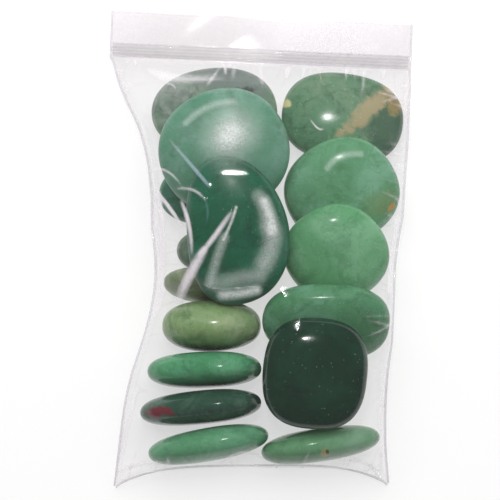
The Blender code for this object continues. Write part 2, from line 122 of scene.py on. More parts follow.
class Shader:
    """One Principled material whose nodes are written as expressions."""

    def __init__(self, name: str, constants: dict) -> None:
        """Makes the material and sets what is the same all over it.

        Args:
            name: the material's name.
            constants: Principled input names and their values.
        """
        self.material = bpy.data.materials.new(name)
        self.material.use_nodes = True
        self.tree = self.material.node_tree
        self.principled = self.tree.nodes["Principled BSDF"]
        for label, value in constants.items():
            self.principled.inputs[label].default_value = value
        self.place = self.node("ShaderNodeTexCoord", output="Object")

    def node(self, kind: str, settings: dict | None = None, values: dict | None = None,
             output: object = 0) -> Socket:
        """Adds one node.

        Args:
            kind: the node's type.
            settings: the node's properties, set first.
            values: numbers, colours or sockets for its inputs, by name or index.
            output: the output's name or index.

        Returns:
            The chosen output.
        """
        made = self.tree.nodes.new(kind)
        for label, value in (settings or {}).items():
            setattr(made, label, value)
        for label, value in (values or {}).items():
            if isinstance(value, Socket):
                self.tree.links.new(value.link, made.inputs[label])
            else:
                made.inputs[label].default_value = value
        return Socket(self, made.outputs[output])

    def noise(self, size: float, detail: float = 3.0, rough: float = 0.5, warp: float = 0.0,
              at: Socket | None = None) -> Socket:
        """Cloudy noise from 0 to 1, around 0.5.

        Args:
            size: width of its largest clouds, in millimetres.
            detail, rough, warp: as on Blender's noise.
            at: where it is read; the piece's own place if left out.
        """
        values = {"Vector": at or self.place, "Scale": 1 / (size * MM), "Detail": detail,
                  "Roughness": rough, "Distortion": warp}
        return self.node("ShaderNodeTexNoise", values=values, output="Fac")

    def step(self, value: Socket, low: float, high: float) -> Socket:
        """0 below low, 1 above high, and smooth between; low may be the larger of the two."""
        turned = low > high
        span = (high, low) if turned else (low, high)
        ends = (1.0, 0.0) if turned else (0.0, 1.0)
        values = {"Value": value, "From Min": span[0], "From Max": span[1], "To Min": ends[0],
                  "To Max": ends[1]}
        return self.node("ShaderNodeMapRange", {"interpolation_type": "SMOOTHSTEP"}, values)

    def mix(self, factor: object, first: object, second: object) -> Socket:
        """Mixes two colours by a factor from 0 to 1."""
        values = {0: factor}
        for index, colour in ((6, first), (7, second)):
            values[index] = colour if isinstance(colour, Socket) else (*colour, 1.0)
        settings = {"data_type": "RGBA", "clamp_factor": True}
        return self.node("ShaderNodeMix", settings, values, output=2)

    def attribute(self, name: str) -> Socket:
        """Reads a number that the mesh carries."""
        return self.node("ShaderNodeAttribute", {"attribute_name": name}, output="Fac")

    def bump(self, height: Socket, strength: float, distance: float) -> Socket:
        """A surface normal tilted by a height; distance is in millimetres."""
        values = {"Height": height, "Strength": strength, "Distance": distance * MM}
        return self.node("ShaderNodeBump", values=values)

    def feed(self, **sockets: Socket) -> bpy.types.Material:
        """Links sockets to Principled inputs, whose names are written with _ for a space."""
        for label, socket in sockets.items():
            self.tree.links.new(socket.link, self.principled.inputs[label.replace("_", " ")])
        return self.material


# ---------------------------------------------------------------- meshes


def surface(name: str, points: np.ndarray, faces: np.ndarray, material: bpy.types.Material,
            **marks: np.ndarray) -> bpy.types.Object:
    """Puts points and faces into a smooth-shaded mesh object at the origin.

    Args:
        name: the piece's name.
        points: places in metres, one row each.
        faces: rows of point numbers, all triangles or all quads.
        material: its finish.
        marks: point attributes, one number for each point.

    Returns:
        The new object.
    """
    mesh = bpy.data.meshes.new(name)
    mesh.from_pydata(points.tolist(), [], faces.tolist())
    for label, values in marks.items():
        made = mesh.attributes.new(label, "FLOAT", "POINT")
        made.data.foreach_set("value", np.ascontiguousarray(values, np.float32).ravel())
    mesh.polygons.foreach_set("use_smooth", np.ones(len(mesh.polygons), bool))
    mesh.materials.append(material)
    piece = bpy.data.objects.new(name, mesh)
    bpy.context.scene.collection.objects.link(piece)
    log.info("%s: %d points, %d faces", name, len(points), len(faces))
    return piece


def grid_faces(rows: int, columns: int, closed: bool = False) -> np.ndarray:
    """Quads of a grid of points, numbered row by row; closed joins its last column to its first."""
    index = np.arange(rows * columns).reshape(rows, columns)
    after = np.roll(index, -1, axis=1)
    if not closed:
        index, after = index[:, :-1], after[:, :-1]
    quads = np.stack([index[:-1], index[1:], after[1:], after[:-1]], axis=-1)
    return quads.reshape(-1, 4)


def swept(path: np.ndarray, side: np.ndarray, profile: np.ndarray) -> tuple:
    """A closed bar: a profile carried along a path.

    Each point is path + side * s + up * t for a profile point (s, t). Both ends close on a middle
    point, as a fan of quads that repeat it.

    Args:
        path: n places.
        side: n unit vectors across the path.
        profile: k points (s, t), anticlockwise seen against the path.

    Returns:
        Points and quads.
    """
    up = np.array([0.0, 0.0, 1.0])
    rings = (path[:, None] + side[:, None] * profile[None, :, :1] + up * profile[None, :, 1:])
    count = len(profile)
    body = grid_faces(len(path), count, closed=True)
    middles = np.array([rings[0].mean(axis=0), rings[-1].mean(axis=0)])
    points = np.vstack([rings.reshape(-1, 3), middles])
    first, last = len(points) - 2, len(points) - 1
    here = np.arange(count)
    after = (here + 1) % count
    start = np.stack([here, after, np.full(count, first)], axis=1)
    base = (len(path) - 1) * count
    end = np.stack([after + base, here + base, np.full(count, last)], axis=1)
    halves = np.vstack([body[:, [0, 1, 2]], body[:, [0, 2, 3]], start, end])
    a, b, c = (points[halves[:, i]] for i in range(3))
    if np.einsum("ij,ij->i", a, np.cross(b, c)).sum() < 0:
        halves = halves[:, ::-1]
    return points, halves


def cube_sphere(cells: int) -> tuple:
    """Unit directions and quads of a cube blown up to a sphere.

    Each side is a grid of (tan a, tan b, 1), with a and b in even steps from -45 to 45 degrees, and
    every point is then divided by its length.
    """
    step = np.tan(np.linspace(-math.pi / 4, math.pi / 4, cells + 1))
    a, b = (grid.ravel() for grid in np.meshgrid(step, step, indexing="ij"))
    one = np.ones_like(a)
    sides = [(one, a, b), (-one, b, a), (b, one, a), (a, -one, b), (a, b, one), (b, a, -one)]
    points = np.vstack([np.stack(side, axis=1) for side in sides])
    faces = np.vstack([grid_faces(cells + 1, cells + 1) + k * len(a) for k in range(len(sides))])
    _, first, same = np.unique(np.round(points, 6), axis=0, return_index=True, return_inverse=True)
    points = points[first]
    return points / np.linalg.norm(points, axis=1, keepdims=True), same.reshape(-1)[faces]


def node_mesh(name: str) -> tuple:
    """Points and triangles of a frame node, with its loose corners merged into a copy."""
    mesh = bpy.data.objects[name].data
    mesh.calc_loop_triangles()
    points = np.empty(len(mesh.vertices) * 3)
    mesh.vertices.foreach_get("co", points)
    triangles = np.empty(len(mesh.loop_triangles) * 3, np.int32)
    mesh.loop_triangles.foreach_get("vertices", triangles)
    points, same = np.unique(np.round(points.reshape(-1, 3), 6), axis=0, return_inverse=True)
    return points, same.reshape(-1)[triangles].reshape(-1, 3)


def smooth_step(value: np.ndarray) -> np.ndarray:
    """3 t^2 - 2 t^3, with t held between 0 and 1."""
    held = np.clip(value, 0, 1)
    return held * held * (3 - 2 * held)


# ---------------------------------------------------------------- stones


@dataclass(frozen=True)
class Patch:
    """A stain, vein or chip of another mineral on a stone; the egg's two patches are painted shade and a
    painted highlight instead.

    place is its middle from the stone's own middle, size its three half widths, in millimetres, and
    turn its heading in degrees. edge is how softly it ends and ragged how far noise pushes its rim.
    """

    place: tuple
    size: tuple
    colour: tuple
    turn: float = 0.0
    edge: float = 0.5
    ragged: float = 0.5
    strength: float = 1.0


@dataclass(frozen=True)
class StoneFinish:
    """How one stone is coloured and polished: a body colour, paler clouds, darker depths and specks."""

    body: tuple
    cloud: tuple
    deep: tuple
    cloud_size: float = 26.0
    mottle: float = 0.5
    specks: float = 0.5
    gloss: float = 0.14
    grain: float = 0.35
    patches: tuple = ()

    def build(self, name: str, middle: np.ndarray) -> bpy.types.Material:
        """Makes the material for a stone whose middle is given in metres."""
        look = Shader(name, {"IOR": STONE_IOR, "Specular IOR Level": 0.5})
        seat = look.node("ShaderNodeVectorMath", {"operation": "SUBTRACT"},
                         {0: look.place, 1: tuple(middle)}, output="Vector")
        offset = look.node("ShaderNodeVectorMath", {"operation": "ADD"},
                           {0: look.place, 1: tuple(middle * 7.3)}, output="Vector")
        clouds = look.noise(self.cloud_size, 4, 0.55, 0.6, at=offset)
        depths = look.noise(self.cloud_size * 0.55, 5, 0.6, 1.1, at=offset)
        fibres = look.noise(3.2, 5, 0.65, 0.3, at=offset)
        grains = look.noise(0.9, 3, 0.7, at=offset)
        colour = look.mix(look.step(clouds, 0.42, 0.66) * 0.85, self.body, self.cloud)
        colour = look.mix(look.step(depths, 0.52, 0.30) * self.mottle, colour, self.deep)
        colour = look.mix(look.step(fibres, 0.50, 0.72) * (0.35 * self.mottle + 0.08), colour,
                          self.cloud)
        veins = look.noise(15.0, 3, 0.55, 1.8, at=offset) - 0.5
        line = look.step(veins * veins, 0.0006, 0.0)
        colour = look.mix(line * 0.22, colour, self.deep)
        colour = look.mix(look.step(grains, 0.38, 0.30) * 0.35, colour, self.deep)
        for patch in self.patches:
            colour = look.mix(self._mask(look, patch, seat), colour, patch.colour)
        mica = look.node("ShaderNodeTexVoronoi", {"feature": "F1"},
                         {"Vector": offset, "Scale": 1 / (1.5 * MM), "Randomness": 1.0},
                         output="Distance")
        chosen = look.noise(2.3, 2, 0.6, at=offset)
        flakes = look.step(mica, 0.16, 0.07) * look.step(chosen, 0.50, 0.58)
        colour = look.mix(flakes * self.specks, colour, MICA)
        smudge = look.noise(9.0, 4, 0.65, 0.8, at=offset)
        scratch = look.noise(0.35, 2, 0.6, at=offset)
        gloss = (smudge - 0.5) * 0.22 + self.gloss + (scratch - 0.5) * (0.25 * self.grain)
        relief = scratch * self.grain + fibres * 0.6 - flakes * 0.4
        return look.feed(Base_Color=colour, Roughness=gloss + flakes * 0.2,
                         Normal=look.bump(relief, 0.10 + 0.25 * self.grain, 0.05))

    @staticmethod
    def _mask(look: Shader, patch: Patch, seat: Socket) -> Socket:
        """1 inside the patch's ellipsoid and 0 outside, with a rim pushed about by noise."""
        shares = tuple(1 / (half * MM) for half in patch.size)
        moved = look.node("ShaderNodeVectorMath", {"operation": "SUBTRACT"},
                          {0: seat, 1: tuple(value * MM for value in patch.place)}, output="Vector")
        turned = look.node("ShaderNodeVectorRotate", {"rotation_type": "Z_AXIS"},
                           {"Vector": moved, "Angle": -math.radians(patch.turn)}, output="Vector")
        scaled = look.node("ShaderNodeVectorMath", {"operation": "MULTIPLY"},
                           {0: turned, 1: shares}, output="Vector")
        away = look.node("ShaderNodeVectorMath", {"operation": "LENGTH"}, {0: scaled}, output="Value")
        pushed = away + (look.noise(4.0, 4, 0.6, 0.5, at=seat) - 0.5) * patch.ragged * 2
        return look.step(pushed, 1 + patch.edge / 2, 1 - patch.edge / 2) * patch.strength


STONE_IOR = 1.54
TAN = linear(176, 165, 128)
MICA = linear(196, 214, 200)

# After the three colours come cloud_size, mottle, specks, gloss and grain.
FINISHES = {
    "stone_top_left_mottled": StoneFinish(
        linear(112, 146, 118), linear(158, 168, 160), linear(84, 100, 90), 20, 0.7, 0.5, 0.2,
        patches=(Patch((6, 16, 5), (22, 7, 20), linear(128, 140, 136), -8, 0.9, 0.8, 0.8),
                 Patch((15, 9, 5), (5, 4, 20), linear(52, 64, 58), 30, 0.9, 1.2, 0.8))),
    "stone_top_right_banded": StoneFinish(
        linear(96, 142, 108), linear(120, 152, 122), linear(58, 92, 68), 22, 0.6, 0.8, 0.17,
        patches=(Patch((24, -3, 0), (13, 20, 30), linear(66, 96, 78), 0, 0.7, 0.7, 0.75),
                 Patch((13, 5, 0), (21, 4.2, 30), TAN, 45, 0.9, 1.0, 0.9),
                 Patch((26, 8, 0), (6, 4, 20), linear(186, 160, 104), 60, 0.9, 1.2, 0.6),
                 Patch((-29, 6, 0), (3.0, 2.2, 20), linear(220, 214, 160), 0, 0.6, 1.0))),
    "stone_upper_left_bright": StoneFinish(
        linear(88, 148, 118), linear(124, 168, 148), linear(77, 115, 90), 34, 0.45, 0.35, 0.3, 0.9),
    "stone_upper_right": StoneFinish(
        linear(100, 159, 118), linear(127, 180, 149), linear(75, 126, 82), 24, 0.6, 0.5, 0.16,
        patches=(Patch((20, -5, 0), (8, 6, 30), linear(136, 152, 96), 20, 1.2, 0.7, 0.4),
                 Patch((24.5, -6, 0), (2.4, 1.2, 20), linear(196, 150, 76), 55, 0.6, 0.8))),
    "stone_centre_kidney": StoneFinish(
        linear(24, 95, 65), linear(34, 112, 83), linear(16, 70, 49), 20, 0.6, 0.7, 0.3, 1.0),
    "stone_left_dark": StoneFinish(
        linear(45, 117, 88), linear(80, 146, 121), linear(36, 86, 65), 20, 0.5, 0.4, 0.2),
    "stone_mid_right_pale": StoneFinish(
        linear(97, 163, 113), linear(129, 185, 144), linear(76, 128, 90), 26, 0.45, 0.5, 0.16),
    "stone_right_leaning": StoneFinish(
        linear(78, 139, 95), linear(107, 162, 130), linear(57, 104, 70), 22, 0.5, 0.5, 0.17),
    "stone_egg_yellow_green": StoneFinish(
        linear(127, 159, 105), linear(159, 181, 143), linear(74, 114, 66), 20, 0.6, 0.3, 0.15,
        # Painted shade: the first patch darkens the egg's lower, -Y side, away from the light. Painted
        # highlight: the second makes its upper, +Y side paler.
        patches=(Patch((0, -10, -6), (28, 9, 14), linear(40, 64, 44), 0, 1.0, 0.6, 0.95),
                 Patch((6, 3, 6), (9, 4, 14), linear(186, 200, 160), -12, 1.2, 0.7, 0.6))),
    "stone_edge_mid_left": StoneFinish(
        linear(73, 148, 101), linear(100, 168, 126), linear(49, 102, 70), 24, 0.4, 0.4, 0.15),
    "stone_edge_red_patch": StoneFinish(
        linear(43, 81, 63), linear(72, 108, 89), linear(29, 61, 48), 18, 0.5, 0.4, 0.14,
        patches=(Patch((-19, -1.5, 10), (6.5, 2.6, 16), linear(118, 44, 52), 12, 0.7, 1.3, 0.9),)),
    "stone_edge_bottom_left": StoneFinish(
        linear(90, 153, 111), linear(115, 174, 138), linear(65, 113, 82), 24, 0.4, 0.4, 0.15),
    "stone_dark_square": StoneFinish(
        linear(8, 54, 33), linear(20, 66, 46), linear(6, 42, 25), 24, 0.45, 0.5, 0.14),
    "stone_edge_bottom_right": StoneFinish(
        linear(104, 156, 114), linear(132, 174, 142), linear(74, 116, 86), 26, 0.4, 0.4, 0.15,
        patches=(Patch((1.5, -2, 14), (2.0, 2.6, 8), linear(168, 160, 104), 20, 0.7, 1.0, 0.9),
                 Patch((2.6, -1.2, 14), (0.8, 1.4, 8), linear(58, 88, 58), 20, 0.7, 0.6, 0.9))),
    "stone_dark_under": StoneFinish(
        linear(6, 48, 32), linear(16, 60, 44), linear(5, 36, 24), 18, 0.4, 0.3, 0.22),
    "stone_left_grey_green": StoneFinish(
        linear(108, 132, 112), linear(140, 158, 140), linear(74, 94, 80), 16, 0.5, 0.3, 0.25),
    "stone_left_olive": StoneFinish(
        linear(130, 147, 111), linear(168, 180, 155), linear(83, 102, 75), 16, 0.5, 0.3, 0.22),
}


@dataclass
class Stones:
    """The loose stones, each a smooth pebble fitted to its node of the frame."""

    cells: int = 40  # along each edge of the cube that the mesh is made from
    sample_cells: int = 16
    dimple: float = 0.10 * MM  # of hand polishing
    tuck: float = 0.06 * MM  # how far the surface is set in, so that touching stones stay apart

    def build(self, bodies: dict) -> None:
        """Makes every stone and lets it ride on its own body."""
        directions, faces = cube_sphere(self.cells)
        samples, _ = cube_sphere(self.sample_cells)
        for name in FINISHES:
            points, middle = self.pebble(name, directions, samples)
            piece = surface(name + "_polished", points, faces, FINISHES[name].build(name, middle))
            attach(piece, next(body for body, nodes in bodies.items() if name in nodes))
            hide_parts(name)

    def pebble(self, name: str, directions: np.ndarray, samples: np.ndarray) -> tuple:
        """Fits one smooth closed surface to a node.

        Along the node's principal axes, scaled to its half sizes, the distance from the middle is a
        polynomial of degree 6 in the direction, fitted by least squares to distances to the node's
        faces.

        Returns:
            The surface points and the node's middle.
        """
        corners, triangles = node_mesh(name)
        axes = np.linalg.eigh(np.cov((corners - corners.mean(axis=0)).T))[1]
        along = corners @ axes
        half = (along.max(axis=0) - along.min(axis=0)) / 2
        middle = axes @ ((along.max(axis=0) + along.min(axis=0)) / 2)
        tree = BVHTree.FromPolygons(corners.tolist(), triangles.tolist())
        rays = (samples * half) @ axes.T
        hits = np.array([tree.ray_cast(Vector(middle), Vector(ray))[3] for ray in rays])
        radii = hits / np.linalg.norm(rays, axis=1)
        weights, *_ = np.linalg.lstsq(self.powers(samples), radii, rcond=None)
        radius = self.powers(directions) @ weights
        way = (directions * half) @ axes.T
        reach = np.linalg.norm(way, axis=1)
        ripple = np.sin(directions @ np.array([7.1, 3.3, 2.7]) + half[0] * 900) * self.dimple
        radius = radius - (self.tuck + self.dimple / 2 + ripple / 2) / reach
        return middle + way * radius[:, None], middle

    @staticmethod
    def powers(directions: np.ndarray) -> np.ndarray:
        """Every product x^a y^b z^c with a + b + c equal to 5 or 6."""
        x, y, z = directions.T
        return np.stack([x**a * y**b * z ** (total - a - b) for total in (5, 6)
                         for a in range(total + 1) for b in range(total + 1 - a)], axis=1)


# ---------------------------------------------------------------- film


class Film(Enum):
    """The finishes that the bag's clear plastic takes."""

    FRONT = "front"
    REAR = "rear"
    WELD = "weld"
    ZIP = "zip"


SMOOTH_FILM = linear(150, 120, 142)
MILKY_FILM = linear(252, 243, 250)
# Painted highlight: the near-white that the front film takes where a highlight is painted on it.
PAINTED_HIGHLIGHT_WHITE = linear(250, 253, 251)
PRESSED_LINE = linear(196, 190, 206)
BLUE_CAST = linear(104, 168, 192)


@dataclass(frozen=True)
class FilmFinish:
    """Clear polyethylene: almost unseen where it is smooth, milky where it is creased or stretched, and
    whiter where a sheen or a highlight is painted on it.

    clear is its opacity where smooth and milky where fully creased.
    """

    clear: float
    milky: float
    rough: float = 0.09

    def build(self, name: str) -> bpy.types.Material:
        """Makes the material.

        The mesh carries haze, line and tint from 0 to 1, and the front film carries as well how strongly
        a highlight is painted on it.
        """
        look = Shader(name, {"IOR": 1.5, "Coat IOR": 2.2, "Coat Roughness": 0.06})
        haze, line = look.attribute("haze"), look.attribute("line")
        tint, smear = look.attribute("tint"), look.attribute("smear")
        cloud = look.noise(14.0, 4, 0.6, 0.8)
        streak = look.noise(2.2, 3, 0.6, 1.5)
        milk = look.step(haze * (cloud * 0.5 + 0.75) + (streak - 0.5) * 0.55 * haze, 0.0, 1.0)
        colour = look.mix(look.step(milk, 0.0, 0.3), SMOOTH_FILM, MILKY_FILM)
        colour = look.mix(line * 0.8, colour, PRESSED_LINE)
        colour = look.mix(tint * 0.8, colour, BLUE_CAST)
        # Painted highlights: where the mesh says so, the film turns a grainy near-white and grows
        # opaque; pressed is how strongly the highlight is painted.
        grain = look.noise(0.8, 3, 0.75, 0.4)
        highlight_grain = look.step(grain + (streak - 0.5) * 0.6, 0.1, 0.9)
        pressed = smear * (highlight_grain * 0.65 + 0.35)
        colour = look.mix(look.step(pressed, 0.0, 0.1), colour, PAINTED_HIGHLIGHT_WHITE)
        alpha = milk * (self.milky - self.clear) + self.clear + line * 0.22 + (cloud - 0.5) * 0.03
        alpha = alpha + pressed * 0.95
        drawn = look.noise(0.7, 2, 0.6)
        return look.feed(Base_Color=colour, Alpha=alpha, Roughness=milk * 0.25 + self.rough,
                         Coat_Weight=1.0 - milk * 0.75,
                         Normal=look.bump(streak * 0.5 + drawn * 0.2, 0.12, 0.08))


# clear, milky and rough.
FILM_FINISHES = {
    Film.FRONT: FilmFinish(0.06, 0.82),
    Film.REAR: FilmFinish(0.06, 0.5),
    Film.WELD: FilmFinish(0.12, 0.55, 0.2),
    Film.ZIP: FilmFinish(0.02, 0.22, 0.15),
}


@dataclass(frozen=True)
class Fold:
    """A crease in the front film along a bent line, in millimetres from the middle of the bag.

    width is the half width of its ridge, height how far it stands up, and haze how milky it is; where
    the haze is high it is partly the crease's own whitening and partly a painted reflection of the
    lights. It narrows towards both ends.
    """

    points: tuple
    width: float
    height: float
    haze: float
    tint: float = 0.0


# points, width, height, haze and tint.
FOLDS = (
    Fold(((-43.5, 56.3), (-27.0, 38.5), (-20.3, 31.5)), 1.1, 0.2, 0.7, 1.0),
    Fold(((-24.0, 28.0), (-21.5, 21.0), (-22.5, 14.0)), 0.9, 0.2, 0.3, 1.0),
    Fold(((-49.6, 31.7), (-41.0, 23.0), (-32.7, 12.4)), 1.1, 0.6, 1.0),
    Fold(((-34.8, 26.0), (-30.1, 14.0), (-28.2, -0.5)), 1.2, 0.6, 1.0),
    Fold(((-38.2, 30.7), (-28.6, 30.2), (-22.6, 25.1)), 1.1, 0.5, 0.6),
    Fold(((-9.5, 22.4), (-18.0, 9.0), (-25.2, -0.9)), 1.6, 0.7, 0.95),
    Fold(((-21.5, 4.0), (-28.5, -9.0), (-34.5, -24.0)), 2.8, 0.9, 1.0),
    Fold(((-24.6, -8.5), (-18.0, -15.0), (-4.0, -14.2), (14.5, -12.6)), 0.35, 0.15, 0.5),
    Fold(((-50.2, 29.3), (-43.5, -1.0), (-42.5, -18.8), (-47.4, -31.9)), 1.0, 0.6, 1.0),
    Fold(((-46.7, 32.8), (-43.7, 16.4), (-42.4, -4.8)), 1.0, 0.5, 0.9),
    Fold(((-52.3, 39.0), (-42.9, 39.5), (-33.9, 31.6)), 0.9, 0.4, 0.6),
    Fold(((-63.1, 41.0), (-58.7, 27.6), (-56.8, 11.0)), 0.8, 0.5, 0.9),
    Fold(((-62.6, 41.0), (-52.0, 29.6), (-41.8, 14.2)), 0.9, 0.5, 0.8),
    Fold(((-58.2, 92.0), (-40.6, 84.4), (-16.0, 84.8)), 3.4, 0.5, 0.5),
    Fold(((-46.8, 81.6), (-40.8, 80.0), (-40.3, 75.5)), 0.8, 0.3, 0.4),
    Fold(((67.5, 86.2), (74.5, 90.0)), 0.8, 0.4, 0.7),
    Fold(((24.0, 68.5), (29.0, 63.0), (32.0, 64.0)), 0.7, 0.3, 0.7),
    Fold(((-60.0, -12.0), (-55.5, 10.0), (-56.5, 24.0)), 1.8, 0.5, 0.55),
    Fold(((-65.0, -112.0), (-58.0, -88.0), (-52.0, -62.0)), 1.6, 0.7, 0.5),
    Fold(((-64.0, -113.0), (-50.0, -103.0), (-30.0, -100.0)), 1.4, 0.6, 0.45),
    Fold(((68.5, -106.0), (66.0, -80.0), (65.5, -52.0)), 1.3, 0.6, 0.5),
    Fold(((68.0, -107.0), (58.0, -96.0), (38.0, -94.0)), 1.4, 0.6, 0.5),
    Fold(((64.5, -26.0), (67.0, 2.0), (69.5, 30.0)), 1.2, 0.5, 0.45),
    Fold(((-12.0, -100.5), (0.0, -93.0), (12.0, -97.0)), 1.1, 0.4, 0.5),
)


@dataclass(frozen=True)
class PaintedHighlight:
    """A painted highlight in the front film over a stone: a grainy white haze along a soft line, in
    millimetres.

    width is the distance at which it has faded to 1/e of its strength.
    """

    points: tuple
    width: float
    strength: float


# points, width and strength.
# Painted highlights over the stones, such as the broad glow on the upper left stone and the streaks on
# the kidney.
PAINTED_HIGHLIGHTS = (
    PaintedHighlight(((4.6, 26.5), (8.2, 18.5), (8.8, 13.0)), 2.1, 0.85),
    PaintedHighlight(((8.9, 13.0), (9.0, 6.0), (6.1, -2.0)), 3.8, 0.5),
    PaintedHighlight(((1.8, 29.0), (4.6, 24.0), (6.0, 16.0)), 3.0, 0.3),
    PaintedHighlight(((-8.3, 23.3), (-10.4, 16.0), (-13.6, 8.0)), 0.5, 1.0),
    PaintedHighlight(((-13.2, 9.0), (-16.0, 0.0), (-19.3, -12.8)), 2.0, 0.42),
    PaintedHighlight(((-13.2, -18.2), (-6.0, -17.2), (3.0, -15.0)), 1.9, 0.75),
    PaintedHighlight(((-16.0, -13.0), (-6.0, -10.0), (4.0, -8.0)), 3.4, 0.3),
    PaintedHighlight(((-13.4, 57.0), (-13.0, 57.5), (-12.6, 58.0)), 6.0, 0.8),
    PaintedHighlight(((-15.0, 55.0), (-13.0, 57.5), (-10.0, 59.5)), 11.5, 0.32),
    PaintedHighlight(((-34.0, 62.0), (-24.0, 70.0), (-12.0, 73.0)), 1.3, 0.35),
    PaintedHighlight(((34.0, 44.0), (40.0, 50.0), (50.0, 52.0)), 1.4, 0.3),
)


class Outline:
    """The films' edges, read from the seal nodes: x against y at the sides, y against x below.

    softening is how many times the side edges are averaged.
    """

    softening = 3

    def __init__(self) -> None:
        """Reads the three seals and the hinge line."""
        self.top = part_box("front_lip")[0][1] - HINGE_HALF_GAP
        self.left = self.stations("side_seal_left", 1, 0)
        self.right = self.stations("side_seal_right", 1, 0)
        self.bottom = self.stations("bottom_seam", 0, 1)

    @staticmethod
    def stations(node: str, along: int, across: int) -> np.ndarray:
        """Rows of (along, lowest across, highest across, lowest z, highest z) of a seal's corners."""
        points, _ = node_mesh(node)
        at, same = np.unique(np.round(points[:, along], 6), return_inverse=True)
        low, high = np.full((len(at), 3), np.inf), np.full((len(at), 3), -np.inf)
        np.minimum.at(low, same.reshape(-1), points)
        np.maximum.at(high, same.reshape(-1), points)
        return np.stack([at, low[:, across], high[:, across], low[:, 2], high[:, 2]], axis=1)

    def grid(self, rows: int, columns: int) -> tuple:
        """x and y of the films at even shares down and across the bag.

        y runs from the top to the bottom seam at each share across, and x from the left edge to the
        right one at each share down.

        Returns:
            x, y, the shares down and the shares across.
        """
        v, u = np.linspace(0, 1, rows), np.linspace(0, 1, columns)
        ends = [self.corner(self.left, 2), self.corner(self.right, 1)]
        foot = np.interp(ends[0][0] + (ends[1][0] - ends[0][0]) * u, self.bottom[:, 0],
                         self.bottom[:, 2])
        y = self.top + (foot - self.top)[None, :] * v[:, None]
        left = np.interp(y[:, 0], self.left[:, 0], self.left[:, 2])
        right = np.interp(y[:, -1], self.right[:, 0], self.right[:, 1])
        left, right = soften(left, self.softening), soften(right, self.softening)
        x = left[:, None] + (right - left)[:, None] * u[None, :]
        return x, y, v, u

    @staticmethod
    def corner(seal: np.ndarray, column: int) -> tuple:
        """The films' corner beside a seal: x and y at its lowest station."""
        return seal[0, column], seal[0, 0]

    def height(self, x: np.ndarray, y: np.ndarray) -> tuple:
        """Middle heights of the left, right and bottom welds beside these edge points."""
        def read(rows: np.ndarray, at: np.ndarray) -> np.ndarray:
            """The weld's middle height at these places."""
            return np.interp(at, rows[:, 0], (rows[:, 3] + rows[:, 4]) / 2)
        return read(self.left, y[:, 0]), read(self.right, y[:, -1]), read(self.bottom, x[-1])


def soften(values: np.ndarray, rounds: int) -> np.ndarray:
    """Averages each inner value with its two neighbours, a number of times."""
    made = values.copy()
    for _ in range(rounds):
        made[1:-1] = (made[:-2] + 2 * made[1:-1] + made[2:]) / 4
    return made


def relaxed(height: np.ndarray, floor: np.ndarray, rounds: int) -> np.ndarray:
    """Averages a height grid with its neighbours, a number of times, never below a floor."""
    made = height.copy()
    for _ in range(rounds):
        mean = (made[:-2, 1:-1] + made[2:, 1:-1] + made[1:-1, :-2] + made[1:-1, 2:]) / 4
        made[1:-1, 1:-1] = np.maximum(mean, floor[1:-1, 1:-1])
    return made


def heights_on(node: str, x: np.ndarray, y: np.ndarray, downwards: bool) -> np.ndarray:
    """Heights of a node's upper or lower face at a grid of places, carried out to its edges."""
    points, triangles = node_mesh(node)
    tree = BVHTree.FromPolygons(points.tolist(), triangles.tolist())
    low, high = points.min(axis=0), points.max(axis=0)
    start, way = (0.2, Vector((0, 0, -1))) if downwards else (-0.2, Vector((0, 0, 1)))
    edge = 0.05 * MM
    at_x = np.clip(x, low[0] + edge, high[0] - edge).ravel()
    at_y = np.clip(y, low[1] + edge, high[1] - edge).ravel()
    hits = [tree.ray_cast(Vector((a, b, start)), way)[0] for a, b in zip(at_x, at_y)]
    found = np.array([np.nan if hit is None else hit.z for hit in hits]).reshape(x.shape)
    for _ in range(max(x.shape)):
        missing = np.isnan(found)
        if not missing.any():
            break
        padded = np.pad(found, 1, constant_values=np.nan)
        around = np.stack([padded[:-2, 1:-1], padded[2:, 1:-1], padded[1:-1, :-2], padded[1:-1, 2:]])
        count = (~np.isnan(around)).sum(axis=0)
        mean = np.nansum(around, axis=0) / np.maximum(count, 1)
        found = np.where(missing & (count > 0), mean, found)
    return found


